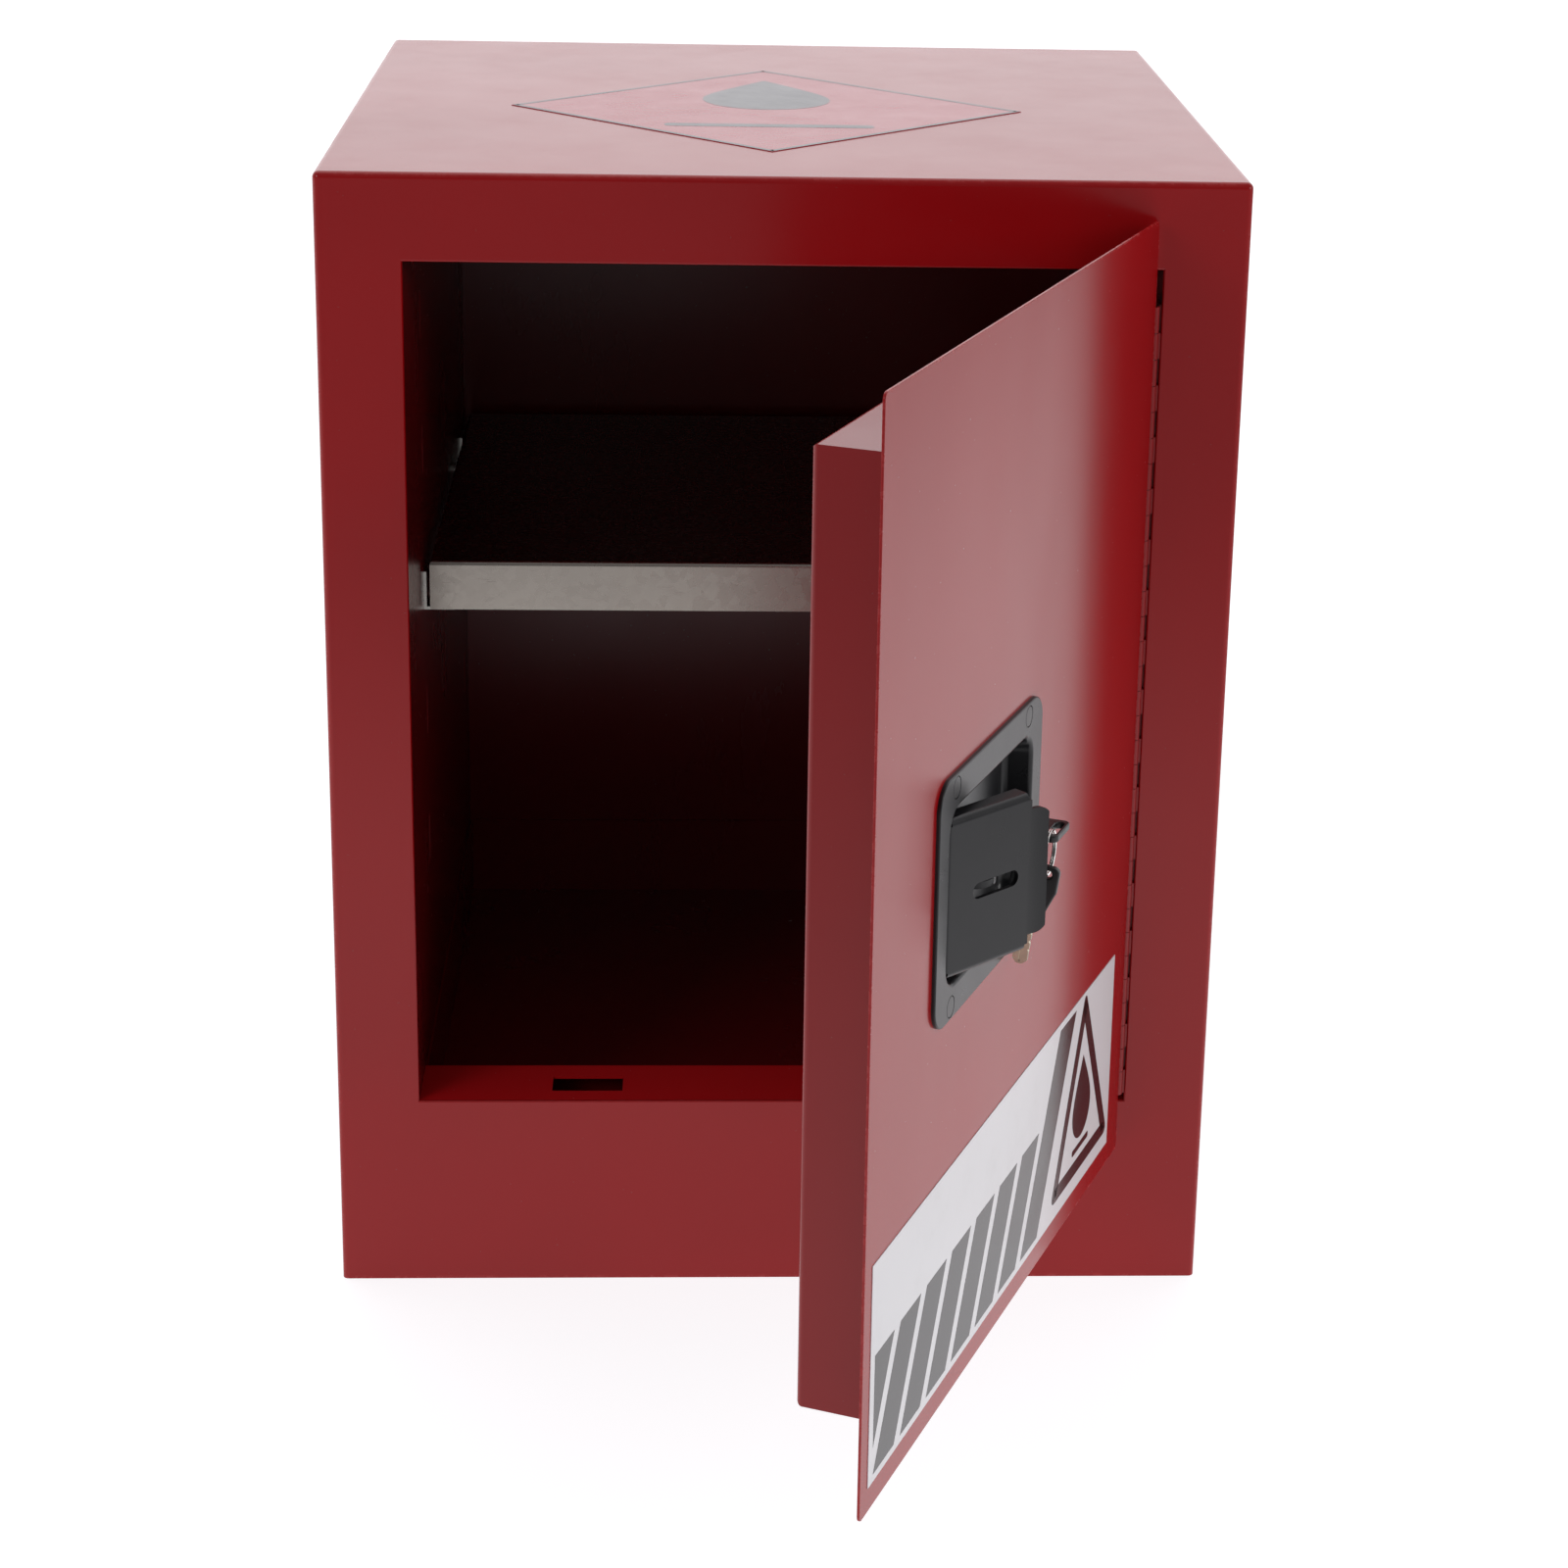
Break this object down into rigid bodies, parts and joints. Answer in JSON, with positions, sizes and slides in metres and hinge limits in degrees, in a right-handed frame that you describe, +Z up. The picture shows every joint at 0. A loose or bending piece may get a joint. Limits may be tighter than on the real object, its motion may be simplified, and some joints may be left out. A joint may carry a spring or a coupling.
{
  "type": "flammable storage cabinet",
  "caption": "Small double-walled steel safety cabinet with spill sump, hinged door with three-point paddle latch and keyed lock, lift-out shelf, and keys on a ring.",
  "frame": {"origin": "centre of the cabinet body's underside, on the surface it stands on", "axes": "+Z up, front faces -Y, hinge on the +X side, door open 67 degrees at rest"},
  "size_m": [0.43, 0.7956, 0.5603],
  "materials": {
    "cabinet_paint": "semi-gloss",
    "liner_paint": "semi-gloss",
    "shelf_metal": "galvanised",
    "zinc_metal": "satin",
    "label_vinyl": "gloss",
    "latch_black": "satin",
    "bright_steel": "polished",
    "key_metal": "satin",
    "key_plastic": "satin"
  },
  "bodies": {
    "cabinet": {"outer_shell": "cabinet_paint", "rear_panel": "cabinet_paint", "base_panel": "cabinet_paint", "tray_bearers": "zinc_metal", "inner_liner": "liner_paint", "inner_back": "liner_paint", "sump_tray": "liner_paint", "sill_plate": "cabinet_paint", "shelf_clips": "zinc_metal", "hinge_frame_leaf": "cabinet_paint", "hinge_pin": "zinc_metal", "top_label": "label_vinyl", "earth_stud": "zinc_metal", "earth_washer": "zinc_metal", "earth_nut": "zinc_metal"},
    "shelf": {"shelf": "shelf_metal"},
    "door": {"door_skin": "cabinet_paint", "door_pan": "cabinet_paint", "door_stiffener": "zinc_metal", "hinge_door_leaf": "cabinet_paint", "door_label": "label_vinyl", "latch_dish": "latch_black", "dish_rivets": "latch_black", "padlock_tab": "latch_black", "paddle_pin": "zinc_metal", "rocker_post": "zinc_metal", "rod_guides": "zinc_metal", "guide_rivets": "zinc_metal", "lock_housing": "bright_steel", "lock_nut": "zinc_metal"},
    "paddle": {"paddle_plate": "latch_black", "paddle_arm": "zinc_metal"},
    "rocker": {"rocker_plate": "zinc_metal"},
    "upper_bolt": {"upper_rod": "zinc_metal", "upper_bolt_tip": "zinc_metal"},
    "lower_bolt": {"lower_rod": "zinc_metal", "lower_bolt_tip": "zinc_metal"},
    "lock_plug": {"lock_plug": "bright_steel", "lock_cam": "zinc_metal", "cam_screw": "zinc_metal", "key_bow": "key_plastic", "key_blade": "key_metal"},
    "key_ring": {"key_ring": "bright_steel"},
    "spare_key": {"spare_key_bow": "key_plastic", "spare_key_blade": "key_metal"}
  },
  "joints": [
    {"name": "door_swing", "type": "hinge", "parent": "cabinet", "child": "door", "pos_m": [0.1715, -0.215, 0.312], "axis": [0, 0, 1], "range_deg": [-67, 80]},
    {"name": "shelf_lift", "type": "slide", "parent": "cabinet", "child": "shelf", "axis": [0, 0, 1], "range_m": [0, 0.03]},
    {"name": "paddle_lift", "type": "hinge", "parent": "door", "child": "paddle", "pos_m": [0.06041, -0.47235, 0.312], "axis": [0, 0, -1], "range_deg": [-25, 10]},
    {"name": "rocker_turn", "type": "hinge", "parent": "door", "child": "rocker", "pos_m": [0.05231, -0.46098, 0.312], "axis": [-0.9205, 0.3907, 0], "range_deg": [-39.79, 15.95]},
    {"name": "upper_bolt_slide", "type": "slide", "parent": "door", "child": "upper_bolt", "axis": [0, 0, -1], "range_m": [-0.01201, 0.00481]},
    {"name": "lower_bolt_slide", "type": "slide", "parent": "door", "child": "lower_bolt", "axis": [0, 0, 1], "range_m": [-0.01201, 0.00481]},
    {"name": "key_turn", "type": "hinge", "parent": "door", "child": "lock_plug", "pos_m": [0.09358, -0.38833, 0.312], "axis": [0.9205, -0.3907, 0], "range_deg": [0, 90]},
    {"name": "ring_hang", "type": "hinge", "parent": "lock_plug", "child": "key_ring", "pos_m": [0.11119, -0.40545, 0.312], "axis": [0.9205, -0.3907, 0], "range_deg": [-90, 0]},
    {"name": "spare_key_swing", "type": "hinge", "parent": "key_ring", "child": "spare_key", "pos_m": [0.11119, -0.40545, 0.29585], "axis": [0.342, 0.9397, 0], "range_deg": [-50, 1]}
  ],
  "couplings": [
    {"joint": "rocker_turn", "follows": "paddle_lift", "ratio": 1.5896},
    {"joint": "upper_bolt_slide", "follows": "paddle_lift", "m_per_rad": 0.027502},
    {"joint": "lower_bolt_slide", "follows": "paddle_lift", "m_per_rad": 0.027502},
    {"joint": "ring_hang", "follows": "key_turn", "ratio": -1}
  ]
}
